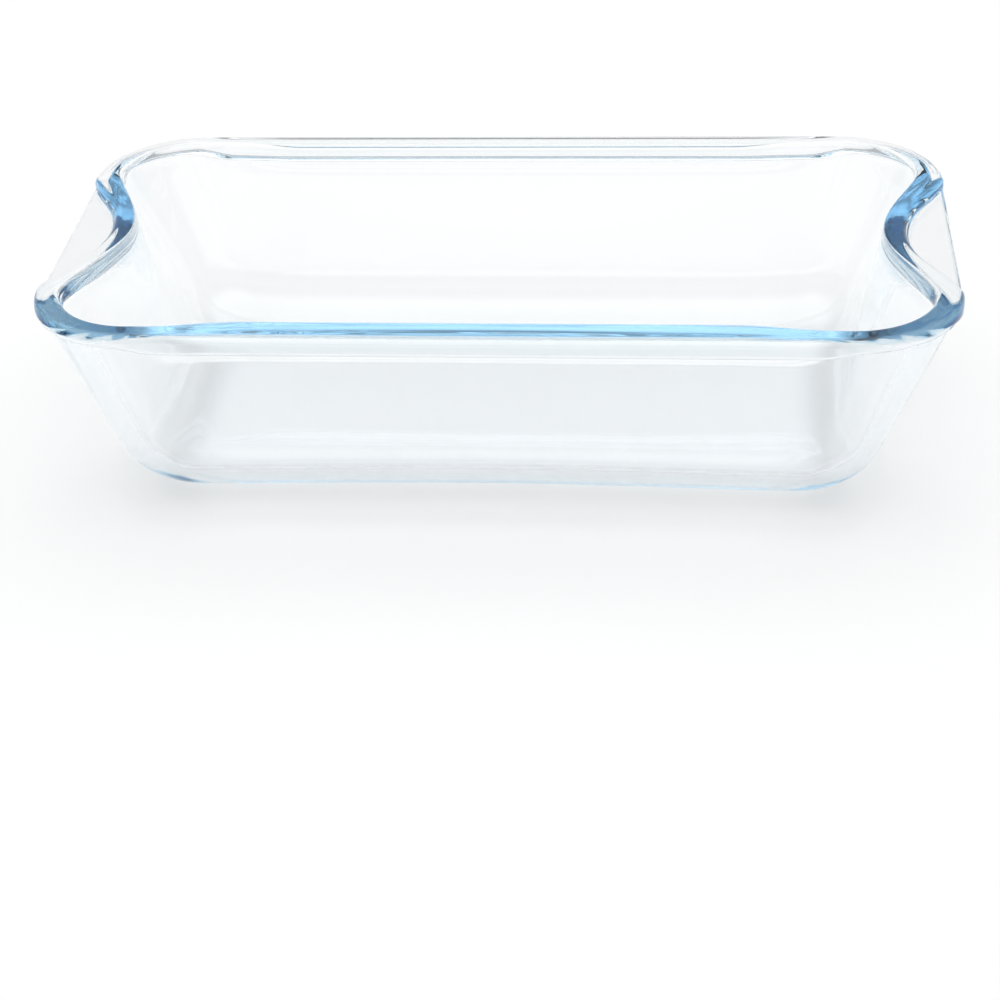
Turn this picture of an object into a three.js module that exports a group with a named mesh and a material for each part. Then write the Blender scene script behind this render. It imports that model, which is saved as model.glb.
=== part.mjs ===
// A clear glass loaf pan, pressed in one piece. Millimetres, +Z up, standing on z = 0.
// +X runs along the pan's length, through its two end handles.
import * as THREE from "three";
import { mergeVertices } from "three/addons/utils/BufferGeometryUtils.js";

// Driving dimensions
const LENGTH = 280;
const WIDTH = 140;
const HEIGHT = 67;
const CORNER_RADIUS = 33; // plan radius of the rim's outer edge

const RIM_WIDTH = 8; // rim bead, from its outer edge to the basin, in plan
const RIM_DEPTH = 4.7; // top of the bead to its underside, at the corners
const SIDE_DROP = 2.1; // how much deeper the bead is along the long sides
const DROP_START = 97; // where that extra depth starts to fade out, along X
const DROP_END = 111;
const RIM_ROUND = 2.8; // round along the bead's top outer edge
const BASIN_EDGE_ROUND = 2; // round where the bead's flat top meets the basin
const FLANGE_ROUND = 1.9; // round along the lower edge of the bead and the handles
const FLANGE_OVERHANG = 3.8; // flange edge to the top of the wall under a handle
const ROOT_FILLET = 1.2; // between the flange's underside and the wall

const HANDLE_RECESS = 3; // bead top down to the flat handle
const HANDLE_THICKNESS = 4.4;
const HANDLE_ROUND = 2.3; // round along the handle's top outer edge
const STEP_FILLET = 1; // at the foot of the bead's side, on the handle
const STEP_FILLET_RISE = 0.6; // height of that fillet over its width
const RISE_START = 39; // where the underside starts to climb from the handle to the bead
const RISE_END = 56;

const BULGE = 14; // how far each end wall bows into the basin at the rim
const BULGE_REACH = 47; // half width of that bow, along Y
const BAND_WIDTH = 7.8; // bead along the bow, at the middle of the end
const BAND_SHOULDER = 2; // extra bead width where the bow runs out to the corners
const SHOULDER_START = 14;
const SHOULDER_END = 32;

const BASE_THICKNESS = 5;
const INNER_WAIST = 3; // how far each long wall stands in along its middle, at the rim: inside
const OUTER_WAIST = 2.5; // and outside
const WAIST_START = 73; // where that step starts to fade out, along X
const WAIST_END = 101;
const OUTER_WALL = {
  endDraft: 0.447,
  sideDraft: 0.08,
  fillet: 25,
  topRadius: 27,
  bottomRadius: 16,
  rimWaist: OUTER_WAIST,
};
const INNER_WALL = {
  endDraft: 0.4,
  sideDraft: 0.08,
  fillet: 20,
  topRadius: 25,
  bottomRadius: 14,
  rimWaist: INNER_WAIST,
};
const BASE_PINCH = 2.4; // how far each long wall curves inward at its middle, at the base
const PINCH_REACH = 104; // half length of that curve, along X

// Mesh resolution
const END_STEPS = 20;
const SIDE_STEPS = 24;
const CORNER_STEPS = 7;
const WALL_STEPS = 4;
const FILLET_STEPS = 7;
const ROUND_STEPS = 3;
const STEP_TURNS = [0, 0.9]; // around the step's fillet

const HANDLE_Z = HEIGHT - HANDLE_RECESS;
const HANDLE_UNDERSIDE_Z = HANDLE_Z - HANDLE_THICKNESS;

const lerp = THREE.MathUtils.lerp;
const clamp = THREE.MathUtils.clamp;
const smoothstep = THREE.MathUtils.smoothstep;

// A smooth hump: 1 at the middle, 0 from the reach outward
function hump(distance, reach) {
  const t = Math.min(Math.abs(distance) / reach, 1);
  return (1 - t * t) ** 2;
}

// Angles from a first one to a quarter turn
function quarterTurns(first = 0) {
  const turns = [];
  for (let i = 0; i <= ROUND_STEPS; i++) {
    turns.push(lerp(first, Math.PI / 2, i / ROUND_STEPS));
  }
  return turns;
}

// Stations run around the pan, counter-clockwise seen from above. At each one, a corner's centre sits at
// (cx, cy) times the half size less the radius, and the outline lies one radius from it along (nx, ny).
// The edge value is the distance along the outline from the middle of an end.
function straightStations(nx, ny, steps) {
  const list = [];
  for (let i = 0; i < steps; i++) {
    const t = -1 + (2 * i) / steps;
    const edge = nx ? Math.abs(t) * (WIDTH / 2 - CORNER_RADIUS) : Infinity;
    list.push({ cx: nx - ny * t, cy: ny + nx * t, nx, ny, edge });
  }
  return list;
}

function cornerStations(nx, ny) {
  const start = Math.atan2(ny, nx);
  const list = [];
  for (let i = 0; i < CORNER_STEPS; i++) {
    const bend = (Math.PI / 2) * (i / CORNER_STEPS);
    const fromEnd = nx ? bend : Math.PI / 2 - bend;
    list.push({
      cx: nx - ny,
      cy: ny + nx,
      nx: Math.cos(start + bend),
      ny: Math.sin(start + bend),
      edge: WIDTH / 2 - CORNER_RADIUS + CORNER_RADIUS * fromEnd,
    });
  }
  return list;
}

function allStations() {
  const list = [];
  for (const [nx, ny] of [[1, 0], [0, 1], [-1, 0], [0, -1]]) {
    list.push(...straightStations(nx, ny, nx ? END_STEPS : SIDE_STEPS));
    list.push(...cornerStations(nx, ny));
  }
  return list;
}

const STATIONS = allStations();

// How far each wall stands in from its plain outline, at a share of the way down from the rim
function bowAt(station, y, down) {
  return Math.abs(station.cx) === 1 ? BULGE * (1 - down) * hump(y, BULGE_REACH) : 0;
}

function waistAt(station, x, down, rimWaist) {
  if (Math.abs(station.cy) !== 1) return 0;
  const atRim = rimWaist * (1 - smoothstep(Math.abs(x), WAIST_START, WAIST_END));
  return lerp(atRim, BASE_PINCH * hump(x, PINCH_REACH), down);
}

// A point of the basin: on a rounded rectangle whose ends bow inward and whose long sides are waisted
function basinPoint(station, outline, z) {
  const { endInset, sideInset, grow = 0, rimWaist = 0 } = outline;
  const radius = outline.radius + grow;
  const x = station.cx * (LENGTH / 2 - endInset + grow - radius) + station.nx * radius;
  const y = station.cy * (WIDTH / 2 - sideInset + grow - radius) + station.ny * radius;
  const down = clamp((HEIGHT - z) / (HEIGHT - BASE_THICKNESS), 0, 1);
  const bow = bowAt(station, y, down);
  const waist = waistAt(station, x, down, rimWaist);
  return new THREE.Vector3(x - Math.sign(x) * bow, y - Math.sign(y) * waist, z);
}

// A point of the flange, at an inset from its straight outer edge
function flangePoint(station, inset, z) {
  const x = station.cx * (LENGTH / 2 - CORNER_RADIUS) + station.nx * (CORNER_RADIUS - inset);
  const y = station.cy * (WIDTH / 2 - CORNER_RADIUS) + station.ny * (CORNER_RADIUS - inset);
  return new THREE.Vector3(x, y, z);
}

// How far the bead's outer edge stands back from the flange's edge, which leaves the handle free
function handleGap(station) {
  const band = BAND_WIDTH + BAND_SHOULDER * smoothstep(station.edge, SHOULDER_START, SHOULDER_END);
  return Math.max(RIM_WIDTH + BULGE * hump(station.edge, BULGE_REACH) - band, 0);
}

// Height of the flat underside: lowest at the handles, highest at the corners
function undersideZ(station) {
  const climb = smoothstep(station.edge, RISE_START, RISE_END);
  const x = Math.abs(flangePoint(station, 0, 0).x);
  const drop = SIDE_DROP * (1 - smoothstep(x, DROP_START, DROP_END));
  return lerp(HANDLE_UNDERSIDE_Z, HEIGHT - RIM_DEPTH, climb) - drop;
}

// Where the round along the lower edge ends
function sideZ(station) {
  return undersideZ(station) + FLANGE_ROUND;
}

// Inset of a drafted wall with a round at its foot, at a height above that foot
function wallInset(height, topHeight, draft, fillet) {
  const lean = Math.atan(draft);
  const tangentHeight = fillet * (1 - Math.sin(lean));
  if (height >= tangentHeight) return (topHeight - height) * draft;
  const centreInset = (topHeight - tangentHeight) * draft + fillet * Math.cos(lean);
  return centreInset - Math.sqrt(fillet ** 2 - (fillet - height) ** 2);
}

// Heights above a wall's foot: around the fillet, then evenly up the wall
function wallHeights(fillet, topHeight) {
  const heights = [];
  for (let i = 0; i < FILLET_STEPS; i++) {
    heights.push(fillet * (1 - Math.cos((Math.PI / 2) * (i / FILLET_STEPS))));
  }
  for (let i = 0; i <= WALL_STEPS; i++) {
    heights.push(lerp(fillet, topHeight, i / WALL_STEPS));
  }
  return heights;
}

// Rings up a wall, from its foot at footZ to topZ
function wallRings(wall, footZ, topZ, topInset) {
  const topHeight = topZ - footZ;
  return wallHeights(wall.fillet, topHeight).map((height) => {
    const outline = {
      endInset: topInset + wallInset(height, topHeight, wall.endDraft, wall.fillet),
      sideInset: topInset + wallInset(height, topHeight, wall.sideDraft, wall.fillet),
      radius: lerp(wall.bottomRadius, wall.topRadius, height / topHeight),
      rimWaist: wall.rimWaist,
    };
    return STATIONS.map((station) => basinPoint(station, outline, footZ + height));
  });
}

// The rest of the wall up to the underside, and the concave fillet between the two
function rootPoint(station, turn) {
  const climb = undersideZ(station) - HANDLE_UNDERSIDE_Z;
  const outline = {
    endInset: FLANGE_OVERHANG - OUTER_WALL.endDraft * climb,
    sideInset: FLANGE_OVERHANG - OUTER_WALL.sideDraft * climb,
    radius: OUTER_WALL.topRadius,
    grow: ROOT_FILLET * (1 - Math.cos(turn)),
  };
  return basinPoint(station, outline, undersideZ(station) - ROOT_FILLET * (1 - Math.sin(turn)));
}

function rootRings() {
  return quarterTurns().map((turn) => STATIONS.map((station) => rootPoint(station, turn)));
}

// The round along the lower edge of the bead and the handles
function lowerEdgeRings() {
  return quarterTurns().map((turn) =>
    STATIONS.map((station) => {
      const inset = FLANGE_ROUND * (1 - Math.sin(turn));
      return flangePoint(station, inset, undersideZ(station) + FLANGE_ROUND * (1 - Math.cos(turn)));
    }),
  );
}

// The round along the handle's top outer edge, which shrinks to nothing where the handle ends
function handleEdgeRings() {
  return quarterTurns().map((turn) =>
    STATIONS.map((station) => {
      const inset = Math.min(HANDLE_ROUND * (1 - Math.cos(turn)), handleGap(station));
      const z = HANDLE_Z - HANDLE_ROUND * (1 - Math.sin(turn));
      return flangePoint(station, inset, Math.max(z, sideZ(station)));
    }),
  );
}

// The concave fillet from the flat handle to the bead's side
function stepPoint(station, turn) {
  const gap = handleGap(station);
  const nearest = turn > 0 ? 0 : Math.min(HANDLE_ROUND, gap);
  const inset = Math.max(gap - STEP_FILLET * (1 - Math.sin(turn)), nearest);
  const z = HANDLE_Z + STEP_FILLET * STEP_FILLET_RISE * (1 - Math.cos(turn));
  return flangePoint(station, inset, Math.max(z, sideZ(station)));
}

function stepRings() {
  return STEP_TURNS.map((turn) => STATIONS.map((station) => stepPoint(station, turn)));
}

// The round from the bead's side to its flat top
function beadRings() {
  const lowest = Math.asin((RIM_ROUND - HANDLE_RECESS + STEP_FILLET * STEP_FILLET_RISE) / RIM_ROUND);
  return quarterTurns(lowest).map((turn) =>
    STATIONS.map((station) => {
      const inset = handleGap(station) + RIM_ROUND * (1 - Math.cos(turn));
      return flangePoint(station, inset, HEIGHT - RIM_ROUND * (1 - Math.sin(turn)));
    }),
  );
}

// The round from the bead's flat top down into the basin; the inner wall's top ring completes it
function basinEdgeRings() {
  return quarterTurns().slice(0, -1).map((turn) => {
    const outline = {
      endInset: RIM_WIDTH,
      sideInset: RIM_WIDTH,
      radius: INNER_WALL.topRadius,
      grow: BASIN_EDGE_ROUND * (1 - Math.sin(turn)),
      rimWaist: INNER_WAIST,
    };
    const z = HEIGHT - BASIN_EDGE_ROUND * (1 - Math.cos(turn));
    return STATIONS.map((station) => basinPoint(station, outline, z));
  });
}

// Every ring, from the base up the outside, over the rim and down the inside to the floor
function panRings() {
  const outer = wallRings(OUTER_WALL, 0, HANDLE_UNDERSIDE_Z - ROOT_FILLET, FLANGE_OVERHANG);
  const inner = wallRings(INNER_WALL, BASE_THICKNESS, HEIGHT - BASIN_EDGE_ROUND, RIM_WIDTH);
  return [
    ...outer,
    ...rootRings(),
    ...lowerEdgeRings(),
    ...handleEdgeRings(),
    ...stepRings(),
    ...beadRings(),
    ...basinEdgeRings(),
    ...inner.reverse(),
  ];
}

// Joins the rings into a skin and closes the base and the floor with flat faces
function skinTriangles(rings) {
  const count = STATIONS.length;
  const triangles = [];
  for (let k = 0; k + 1 < rings.length; k++) {
    for (let i = 0; i < count; i++) {
      const j = (i + 1) % count;
      triangles.push([rings[k][i], rings[k][j], rings[k + 1][j]]);
      triangles.push([rings[k][i], rings[k + 1][j], rings[k + 1][i]]);
    }
  }
  const base = rings[0];
  const floor = rings[rings.length - 1];
  for (const [a, b, c] of THREE.ShapeUtils.triangulateShape(base, [])) {
    triangles.push([base[c], base[b], base[a]]);
  }
  for (const [a, b, c] of THREE.ShapeUtils.triangulateShape(floor, [])) {
    triangles.push([floor[a], floor[b], floor[c]]);
  }
  return triangles;
}

// A closed indexed geometry, without the triangles that collapse where two rings meet
function closedGeometry(triangles) {
  const loose = new THREE.BufferGeometry().setFromPoints(triangles.flat());
  const geometry = mergeVertices(loose, 1e-4);
  const index = geometry.getIndex().array;
  const kept = [];
  for (let i = 0; i < index.length; i += 3) {
    const [a, b, c] = index.subarray(i, i + 3);
    if (a !== b && b !== c && c !== a) kept.push(a, b, c);
  }
  geometry.setIndex(kept);
  geometry.computeVertexNormals();
  return geometry;
}

function glassMaterial() {
  return new THREE.MeshStandardMaterial({
    color: 0xd8ebf4,
    roughness: 0.03,
    metalness: 0,
    transparent: true,
    opacity: 0.35,
  });
}

function makePan() {
  const mesh = new THREE.Mesh(closedGeometry(skinTriangles(panRings())), glassMaterial());
  mesh.name = "glass_pan";
  return mesh;
}

const loafPan = new THREE.Group();
loafPan.add(makePan());

export default loafPan;
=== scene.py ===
"""A clear pressed-glass loaf pan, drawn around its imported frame. Metres, +Z up, +X along its length."""

import math

import bmesh
import bpy
import numpy as np
from mathutils import Matrix, Vector


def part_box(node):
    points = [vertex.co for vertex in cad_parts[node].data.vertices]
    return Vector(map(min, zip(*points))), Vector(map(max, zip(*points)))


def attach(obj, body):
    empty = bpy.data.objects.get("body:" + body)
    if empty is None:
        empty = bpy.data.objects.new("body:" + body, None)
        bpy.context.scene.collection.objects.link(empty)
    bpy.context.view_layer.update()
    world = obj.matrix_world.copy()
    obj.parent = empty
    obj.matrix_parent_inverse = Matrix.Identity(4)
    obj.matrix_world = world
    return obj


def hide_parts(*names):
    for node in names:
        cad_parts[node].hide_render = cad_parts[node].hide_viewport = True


MM = 0.001

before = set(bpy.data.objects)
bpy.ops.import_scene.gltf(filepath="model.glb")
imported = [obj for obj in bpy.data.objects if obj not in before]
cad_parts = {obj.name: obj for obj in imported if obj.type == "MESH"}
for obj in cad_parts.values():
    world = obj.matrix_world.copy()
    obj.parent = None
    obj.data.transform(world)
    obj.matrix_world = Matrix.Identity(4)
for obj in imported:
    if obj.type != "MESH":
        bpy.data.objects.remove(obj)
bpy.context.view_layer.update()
PAN_LOW, PAN_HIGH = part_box("glass_pan")

# Driving dimensions
LENGTH, WIDTH, HEIGHT = PAN_HIGH - PAN_LOW
CORNER_RADIUS = 33 * MM  # plan radius of the rim's outer edge
RIM_WIDTH = 8 * MM  # rim bead, from its outer edge to the basin, in plan
RIM_DEPTH = 4.7 * MM  # top of the bead to its underside, at the corners
SIDE_DROP = 2.1 * MM  # how much deeper the bead is along the long sides
DROP_SPAN = (97 * MM, 111 * MM)  # where that extra depth fades out, along X
RIM_ROUND = 2.8 * MM  # round along the bead's top outer edge
BASIN_EDGE_ROUND = 2 * MM  # round where the bead's flat top meets the basin
FLANGE_ROUND = 1.9 * MM  # round along the lower edge of the bead and the handles
FLANGE_OVERHANG = 3.8 * MM  # flange edge to the top of the wall under a handle
ROOT_FILLET = 1.2 * MM  # between the flange's underside and the wall

HANDLE_RECESS = 3 * MM  # bead top down to the flat handle
HANDLE_THICKNESS = 4.4 * MM
HANDLE_ROUND = 2.3 * MM  # round along the handle's top outer edge
STEP_FILLET = 1 * MM  # run of the fillet at the foot of the bead's side, on the handle
STEP_RISE = 0.6 * MM  # and its rise
STEP_SWEEP = math.radians(77)  # how far it turns, which is just short of vertical
STEP_TOP = 0.65 * MM  # height above the handle at which the bead's top round takes over
RISE_SPAN = (39 * MM, 56 * MM)  # where the underside climbs to the bead, along the outline
BULGE = 14 * MM  # how far each end wall bows into the basin at the rim
BULGE_REACH = 47 * MM  # half width of that bow, along Y
BAND_WIDTH = 7.8 * MM  # bead along the bow, at the middle of the end
BAND_SHOULDER = 2 * MM  # extra bead width where the bow runs out to the corners
SHOULDER_SPAN = (14 * MM, 32 * MM)  # where that extra width comes in, along the outline

INNER_WAIST = 3 * MM  # how far each long wall stands in along its middle, at the rim: inside
OUTER_WAIST = 2.5 * MM  # and outside
WAIST_SPAN = (73 * MM, 101 * MM)  # where that step fades out, along X
BASE_THICKNESS = 5 * MM
# A wall leans out by its drafts, over a round at its foot; its plan corners go from the first radius at
# the foot to the second at the rim.
OUTER_WALL = {
    "end_draft": 0.447,
    "side_draft": 0.08,
    "fillet": 25 * MM,
    "radii": (16 * MM, 27 * MM),
    "rim_waist": OUTER_WAIST,
}
INNER_WALL = {
    "end_draft": 0.4,
    "side_draft": 0.08,
    "fillet": 20 * MM,
    "radii": (14 * MM, 25 * MM),
    "rim_waist": INNER_WAIST,
}
BASE_PINCH = 2.4 * MM  # how far each long wall curves inward at its middle, at the base
PINCH_REACH = 104 * MM  # half length of that curve, along X

HANDLE_Z = HEIGHT - HANDLE_RECESS
STRAIGHT_EDGE = WIDTH / 2 - CORNER_RADIUS  # half the straight part of an end's outline

# Glass
TINT = (0.0, 0.55, 0.84, 1.0)
DENSITY = 4.5  # absorption of a colour, per metre, is this times one less its tint
WAVE_SCALE, WAVE_DETAIL, WAVE_DEPTH = 38.0, 1.0, 0.02 * MM
FLOW_SCALE, FLOW_DETAIL, FLOW_DEPTH = 160.0, 2.0, 0.004 * MM
FLOW_STRETCH = (0.25, 0.6, 1.0)  # the flow lines run mostly along X

# Studio
FLOOR_HALF = 12.0  # half the side of the square floor
FLOOR_GAP = 0.05 * MM  # keeps the floor just clear of the base
FLOOR_WHITE = (0.93, 0.93, 0.93, 1.0)
FLOOR_ROUGHNESS = 0.9
COVE = (0.14, 0.55)  # strength of the sky at the front and at the back
COVE_SPAN = (-0.3, 0.4)  # where it changes from one to the other, along Y
CEILING = (0.0, 1.3)  # strength that the ceiling adds, low down and overhead
CEILING_SPAN = (0.5, 0.9)  # where it fades in, along Z
SOFTBOX_WATTS = 3.2
SOFTBOX_SIZE = (2.4, 2.0)
SOFTBOX_PLACE = Vector((0.0, 0.2, 1.2))
BOUNCES = 48  # light crosses the rim's surfaces many times before it leaves the glass

# Camera
AZIMUTH, ELEVATION, ROLL = math.radians(6.04), math.radians(26.9), math.radians(-2.84)
DISTANCE = 694.9 * MM  # from the centre of the rim
AIM_X, AIM_Y = 1.2 * MM, -53.1 * MM  # the point it looks at, at the height of the base
LENS_MM, SENSOR_MM = 79.1, 36

# Mesh resolution
END_STEPS, SIDE_STEPS, CORNER_STEPS = 96, 80, 44
FILLET_STEPS, WALL_STEPS, ROUND_STEPS = 22, 10, 8
STEP_RINGS = 5
FLAT_SHARES = (0.15, 0.5, 0.85)  # extra rings across the handle and the bead's top
LAND_SHARES = (0.01, 0.04)  # extra rings just inside the edges of the base and the floor
MERGE_DISTANCE = 0.001 * MM


def smoothstep(value, low, high):
    t = np.clip((value - low) / (high - low), 0, 1)
    return t * t * (3 - 2 * t)


def hump(distance, reach):
    """A smooth hump: 1 at the middle, 0 from the reach outward."""
    t = np.minimum(np.abs(distance) / reach, 1)
    return (1 - t * t) ** 2


def lerp(low, high, t):
    return low + (high - low) * t


def straight_rows(nx, ny, steps):
    """Stations along the straight part of the side that faces (nx, ny)."""
    rows = []
    for i in range(steps):
        t = -1 + 2 * i / steps
        edge = abs(t) * STRAIGHT_EDGE if nx else math.inf
        rows.append((nx - ny * t, ny + nx * t, nx, ny, edge))
    return rows


def corner_rows(nx, ny):
    """Stations around the corner that follows the side facing (nx, ny)."""
    start = math.atan2(ny, nx)
    rows = []
    for i in range(CORNER_STEPS):
        bend = math.pi / 2 * i / CORNER_STEPS
        from_end = bend if nx else math.pi / 2 - bend
        edge = STRAIGHT_EDGE + CORNER_RADIUS * from_end
        rows.append((nx - ny, ny + nx, math.cos(start + bend), math.sin(start + bend), edge))
    return rows


class Stations:
    """Places around the pan, counter-clockwise from above: a corner's centre sits at (cx, cy) times the
    half size less the radius, and the outline lies one radius from it along (nx, ny). The edge value is
    the distance along the outline from the middle of an end, and infinite on the long sides."""

    def __init__(self):
        rows = []
        for nx, ny in ((1, 0), (0, 1), (-1, 0), (0, -1)):
            rows += straight_rows(nx, ny, END_STEPS if nx else SIDE_STEPS)
            rows += corner_rows(nx, ny)
        self.cx, self.cy, self.nx, self.ny, self.edge = np.array(rows).T

    def outline(self, half_length, half_width, radius):
        x = self.cx * (half_length - radius) + self.nx * radius
        y = self.cy * (half_width - radius) + self.ny * radius
        return x, y


STATIONS = Stations()


def underside():
    """Height of the flat underside around the pan: lowest at the handles, highest at the corners."""
    climb = smoothstep(STATIONS.edge, *RISE_SPAN)
    at_rim = lerp(HANDLE_Z - HANDLE_THICKNESS, HEIGHT - RIM_DEPTH, climb)
    x, _ = STATIONS.outline(LENGTH / 2, WIDTH / 2, CORNER_RADIUS)
    return at_rim - SIDE_DROP * (1 - smoothstep(np.abs(x), *DROP_SPAN))


UNDERSIDE_Z = underside()
SIDE_Z = UNDERSIDE_Z + FLANGE_ROUND  # where the lower round ends


def basin_ring(end_inset, side_inset, radius, z, grow=0.0, rim_waist=0.0):
    """A rounded rectangle whose ends bow inward and whose long sides are pinched."""
    down = np.clip((HEIGHT - z) / (HEIGHT - BASE_THICKNESS), 0, 1)
    half_length = LENGTH / 2 - end_inset + grow
    half_width = WIDTH / 2 - side_inset + grow
    x, y = STATIONS.outline(half_length, half_width, radius + grow)
    bow = BULGE * (1 - down) * hump(y, BULGE_REACH) * (np.abs(STATIONS.cx) == 1)
    step = rim_waist * (1 - smoothstep(np.abs(x), *WAIST_SPAN))
    waist = lerp(step, BASE_PINCH * hump(x, PINCH_REACH), down) * (np.abs(STATIONS.cy) == 1)
    return np.stack([x - np.sign(x) * bow, y - np.sign(y) * waist, z + 0 * x], axis=1)


def flange_ring(inset, z):
    """The flange's straight outer edge, moved in by an inset that may change around the pan."""
    x, y = STATIONS.outline(LENGTH / 2, WIDTH / 2, CORNER_RADIUS)
    return np.stack([x - inset * STATIONS.nx, y - inset * STATIONS.ny, z + 0 * x], axis=1)


def handle_gap():
    """How far the bead's outer edge stands back from the flange's edge, which leaves the handle free."""
    band = BAND_WIDTH + BAND_SHOULDER * smoothstep(STATIONS.edge, *SHOULDER_SPAN)
    return np.maximum(RIM_WIDTH + BULGE * hump(STATIONS.edge, BULGE_REACH) - band, 0)


def wall_inset(height, top_height, draft, fillet):
    """Inset of a drafted wall with a round at its foot, at a height above that foot."""
    lean = math.atan(draft)
    tangent_height = fillet * (1 - math.sin(lean))
    if height >= tangent_height:
        return (top_height - height) * draft
    centre_inset = (top_height - tangent_height) * draft + fillet * math.cos(lean)
    return centre_inset - math.sqrt(fillet**2 - (fillet - height) ** 2)


def wall_rings(wall, foot_z, top_z, top_inset):
    """Rings up a wall: around the fillet at its foot, then evenly up to its top."""
    fillet, top_height = wall["fillet"], top_z - foot_z
    turns = np.linspace(0, math.pi / 2, FILLET_STEPS, endpoint=False)
    heights = [*(fillet * (1 - np.cos(turns))), *np.linspace(fillet, top_height, WALL_STEPS)]
    rings = []
    for height in heights:
        end_inset = top_inset + wall_inset(height, top_height, wall["end_draft"], fillet)
        side_inset = top_inset + wall_inset(height, top_height, wall["side_draft"], fillet)
        radius = lerp(*wall["radii"], height / top_height)
        rings.append(
            basin_ring(end_inset, side_inset, radius, foot_z + height, rim_waist=wall["rim_waist"])
        )
    return rings


def quarter_turns(first=0.0, skip_first=False):
    turns = np.linspace(first, math.pi / 2, ROUND_STEPS + 1)
    return turns[1:] if skip_first else turns


def root_rings():
    """The concave fillet between the outer wall and the flange's flat underside."""
    radius = OUTER_WALL["radii"][1]
    climb = UNDERSIDE_Z - UNDERSIDE_Z.min()
    end_inset = FLANGE_OVERHANG - OUTER_WALL["end_draft"] * climb
    side_inset = FLANGE_OVERHANG - OUTER_WALL["side_draft"] * climb
    rings = []
    for turn in quarter_turns():
        z = UNDERSIDE_Z - ROOT_FILLET * (1 - math.sin(turn))
        grow = ROOT_FILLET * (1 - math.cos(turn))
        rings.append(basin_ring(end_inset, side_inset, radius, z, grow))
    return rings


def edge_rings(gap):
    """Up the flange's outer edge and over the handle's edge; away from the handles, the bead's side."""
    rings = []
    for turn in quarter_turns():
        inset = FLANGE_ROUND * (1 - math.sin(turn))
        rings.append(flange_ring(inset, UNDERSIDE_Z + FLANGE_ROUND * (1 - math.cos(turn))))
    for turn in quarter_turns(skip_first=True):
        inset = np.minimum(HANDLE_ROUND * (1 - math.cos(turn)), gap)
        z = np.maximum(HANDLE_Z - HANDLE_ROUND * (1 - math.sin(turn)), SIDE_Z)
        rings.append(flange_ring(inset, z))
    return rings


def bead_rings(gap):
    """From the flat handle up the bead's side to its flat top."""
    rings = []
    handle_edge = np.minimum(HANDLE_ROUND, gap)
    for turn in np.linspace(0, STEP_SWEEP, STEP_RINGS):
        inset = np.maximum(gap - STEP_FILLET * (1 - math.sin(turn)), handle_edge)
        z = HANDLE_Z + STEP_RISE * (1 - math.cos(turn))
        rings.append(flange_ring(inset, np.maximum(z, SIDE_Z)))
    lowest = math.asin((RIM_ROUND - HANDLE_RECESS + STEP_TOP) / RIM_ROUND)
    for turn in quarter_turns(first=lowest):
        inset = gap + RIM_ROUND * (1 - math.cos(turn))
        rings.append(flange_ring(inset, HEIGHT - RIM_ROUND * (1 - math.sin(turn))))
    return rings


def basin_edge_rings():
    """The small round from the bead's flat top down into the basin."""
    rings = []
    for turn in quarter_turns()[:-1]:
        z = HEIGHT - BASIN_EDGE_ROUND * (1 - math.cos(turn))
        grow = BASIN_EDGE_ROUND * (1 - math.sin(turn))
        rings.append(basin_ring(RIM_WIDTH, RIM_WIDTH, INNER_WALL["radii"][1], z, grow, INNER_WAIST))
    return rings


def flat_rings(ring_a, ring_b):
    """Extra rings on the flat between two rings, so that it shades flat."""
    return [lerp(ring_a, ring_b, share) for share in FLAT_SHARES]


def land_rings(ring):
    """Copies of a flat ring drawn in toward its centre, so that the land inside it shades flat."""
    return [ring * np.array([1 - share, 1 - share, 1]) for share in LAND_SHARES]


def pan_rings():
    """Every ring, from the base up the outside, over the rim and down the inside to the floor."""
    gap = handle_gap()
    outer = wall_rings(OUTER_WALL, 0.0, UNDERSIDE_Z.min() - ROOT_FILLET, FLANGE_OVERHANG)
    inner = wall_rings(INNER_WALL, BASE_THICKNESS, HEIGHT - BASIN_EDGE_ROUND, RIM_WIDTH)[::-1]
    edge, bead, basin_edge = edge_rings(gap), bead_rings(gap), basin_edge_rings()
    return [
        *land_rings(outer[0])[::-1],
        *outer,
        *root_rings(),
        *edge,
        *flat_rings(edge[-1], bead[0]),
        *bead,
        *flat_rings(bead[-1], basin_edge[0]),
        *basin_edge,
        *inner,
        *land_rings(inner[-1]),
    ]


def skin(name, rings):
    """One closed mesh through the rings, with the base and the floor closed by flat faces."""
    count = len(rings[0])
    faces = []
    for k in range(len(rings) - 1):
        low, high = k * count, (k + 1) * count
        for i in range(count):
            j = (i + 1) % count
            faces.append((low + i, low + j, high + j, high + i))
    last = (len(rings) - 1) * count
    faces.append(tuple(range(count - 1, -1, -1)))
    faces.append(tuple(range(last, last + count)))
    mesh = bpy.data.meshes.new(name)
    mesh.from_pydata(np.concatenate(rings).tolist(), [], faces)
    work = bmesh.new()
    work.from_mesh(mesh)
    bmesh.ops.remove_doubles(work, verts=work.verts, dist=MERGE_DISTANCE)
    bmesh.ops.triangulate(work, faces=[f for f in work.faces if len(f.verts) > 4])
    work.to_mesh(mesh)
    work.free()
    mesh.shade_smooth()
    piece = bpy.data.objects.new(name, mesh)
    bpy.context.scene.collection.objects.link(piece)
    return piece


def add_node(tree, kind, **inputs):
    node = tree.nodes.new(kind)
    for key, value in inputs.items():
        node.inputs[key].default_value = value
    return node


def noise_bump(tree, place, scale, detail, depth):
    """A bump node driven by a noise texture."""
    noise = add_node(tree, "ShaderNodeTexNoise", Scale=scale, Detail=detail)
    tree.links.new(place, noise.inputs["Vector"])
    bump = add_node(tree, "ShaderNodeBump", Strength=1.0, Distance=depth)
    tree.links.new(noise.outputs["Fac"], bump.inputs["Height"])
    return bump


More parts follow.
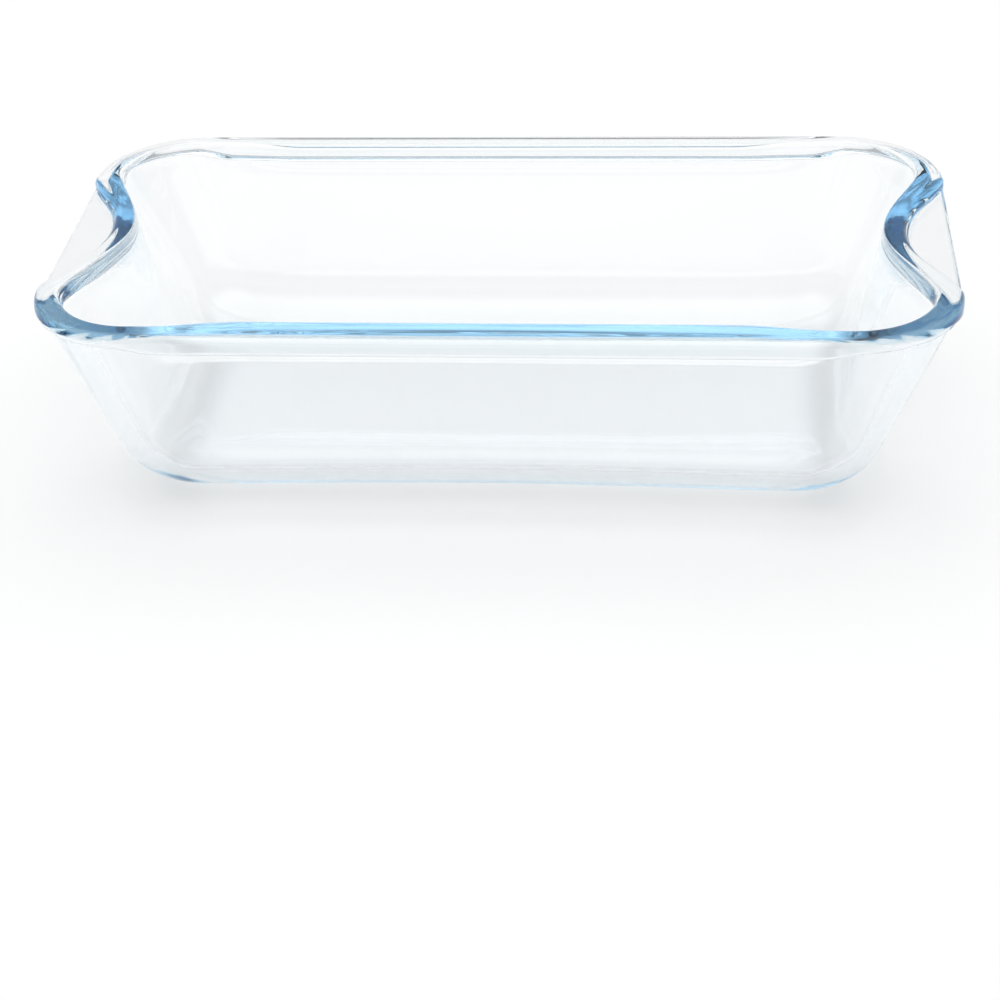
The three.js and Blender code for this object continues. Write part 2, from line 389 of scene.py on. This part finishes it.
def wavy_normal(tree):
    """The slow waves that a plunger leaves in pressed glass, with finer flow lines over them."""
    place = tree.nodes.new("ShaderNodeTexCoord").outputs["Object"]
    stretch = add_node(tree, "ShaderNodeMapping", Scale=FLOW_STRETCH)
    tree.links.new(place, stretch.inputs["Vector"])
    waves = noise_bump(tree, place, WAVE_SCALE, WAVE_DETAIL, WAVE_DEPTH)
    flow = noise_bump(tree, stretch.outputs["Vector"], FLOW_SCALE, FLOW_DETAIL, FLOW_DEPTH)
    tree.links.new(waves.outputs["Normal"], flow.inputs["Normal"])
    return flow.outputs["Normal"]


def glass_material():
    """Clear pressed glass: a blue cast that grows with the path through it."""
    material = bpy.data.materials.new("pressed_glass")
    material.use_nodes = True
    tree = material.node_tree
    surface = tree.nodes["Principled BSDF"]
    surface.inputs["Base Color"].default_value = (1, 1, 1, 1)
    surface.inputs["Roughness"].default_value = 0.0
    surface.inputs["IOR"].default_value = 1.5
    surface.inputs["Transmission Weight"].default_value = 1.0
    tree.links.new(wavy_normal(tree), surface.inputs["Normal"])
    volume = add_node(tree, "ShaderNodeVolumeAbsorption", Color=TINT, Density=DENSITY)
    tree.links.new(volume.outputs["Volume"], tree.nodes["Material Output"].inputs["Volume"])
    return material


def floor_material():
    material = bpy.data.materials.new("floor_white")
    material.use_nodes = True
    surface = material.node_tree.nodes["Principled BSDF"]
    surface.inputs["Base Color"].default_value = FLOOR_WHITE
    surface.inputs["Roughness"].default_value = FLOOR_ROUGHNESS
    return material


def make_pan():
    pan = skin("loaf_pan", pan_rings())
    pan.data.materials.append(glass_material())
    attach(pan, "root")
    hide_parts("glass_pan")


def make_floor():
    mesh = bpy.data.meshes.new("floor")
    corners = [(x * FLOOR_HALF, y * FLOOR_HALF, 0) for x, y in ((-1, -1), (1, -1), (1, 1), (-1, 1))]
    mesh.from_pydata(corners, [], [(0, 1, 2, 3)])
    mesh.materials.append(floor_material())
    floor = bpy.data.objects.new("floor", mesh)
    floor.location.z = PAN_LOW.z - FLOOR_GAP
    bpy.context.scene.collection.objects.link(floor)


def make_camera():
    """A look at the pan from its long side, a little to the right and above, with a slight roll."""
    back = Vector((
        math.sin(AZIMUTH) * math.cos(ELEVATION),
        -math.cos(AZIMUTH) * math.cos(ELEVATION),
        math.sin(ELEVATION),
    ))
    eye = Vector((0, 0, PAN_HIGH.z)) + back * DISTANCE
    aim = Vector((AIM_X, AIM_Y, PAN_LOW.z))
    data = bpy.data.cameras.new("camera")
    data.sensor_width = SENSOR_MM
    data.lens = LENS_MM
    camera = bpy.data.objects.new("camera", data)
    level = (aim - eye).to_track_quat("-Z", "Y").to_matrix().to_4x4()
    camera.matrix_world = Matrix.Translation(eye) @ level @ Matrix.Rotation(ROLL, 4, "Z")
    bpy.context.scene.collection.objects.link(camera)
    bpy.context.scene.camera = camera


def fade_node(tree, value, span, strengths):
    """A smooth fade of the sky's strength over a span of one direction component."""
    fade = tree.nodes.new("ShaderNodeMapRange")
    fade.interpolation_type = "SMOOTHSTEP"
    fade.inputs["From Min"].default_value, fade.inputs["From Max"].default_value = span
    fade.inputs["To Min"].default_value, fade.inputs["To Max"].default_value = strengths
    tree.links.new(value, fade.inputs["Value"])
    return fade.outputs["Result"]


def make_sky():
    """A studio all around: dim at the front, a grey cove behind and a broad bright ceiling."""
    world = bpy.data.worlds.new("studio")
    world.use_nodes = True
    tree = world.node_tree
    background = tree.nodes["Background"]
    background.inputs["Color"].default_value = (1, 1, 1, 1)
    place = tree.nodes.new("ShaderNodeTexCoord")
    split = tree.nodes.new("ShaderNodeSeparateXYZ")
    tree.links.new(place.outputs["Generated"], split.inputs["Vector"])
    total = tree.nodes.new("ShaderNodeMath")
    total.operation = "ADD"
    tree.links.new(fade_node(tree, split.outputs["Y"], COVE_SPAN, COVE), total.inputs[0])
    tree.links.new(fade_node(tree, split.outputs["Z"], CEILING_SPAN, CEILING), total.inputs[1])
    tree.links.new(total.outputs["Value"], background.inputs["Strength"])
    bpy.context.scene.world = world


def make_softbox():
    """A lamp overhead whose light the glass stops, which gives the pan its soft shadow."""
    data = bpy.data.lights.new("overhead", "AREA")
    data.shape = "RECTANGLE"
    data.size, data.size_y = SOFTBOX_SIZE
    data.energy = SOFTBOX_WATTS
    data.cycles.use_multiple_importance_sampling = False
    softbox = bpy.data.objects.new("overhead", data)
    softbox.location = SOFTBOX_PLACE
    softbox.rotation_mode = "QUATERNION"
    softbox.rotation_quaternion = (-SOFTBOX_PLACE).to_track_quat("-Z", "Y")
    bpy.context.scene.collection.objects.link(softbox)


def set_light_paths():
    """Plain display colours, and enough bounces for the light inside the rim."""
    scene = bpy.context.scene
    scene.view_settings.view_transform = "Standard"
    scene.cycles.max_bounces = BOUNCES
    scene.cycles.glossy_bounces = BOUNCES
    scene.cycles.transmission_bounces = BOUNCES
    scene.cycles.blur_glossy = 0.0


make_camera()
make_pan()
make_floor()
make_sky()
make_softbox()
set_light_paths()
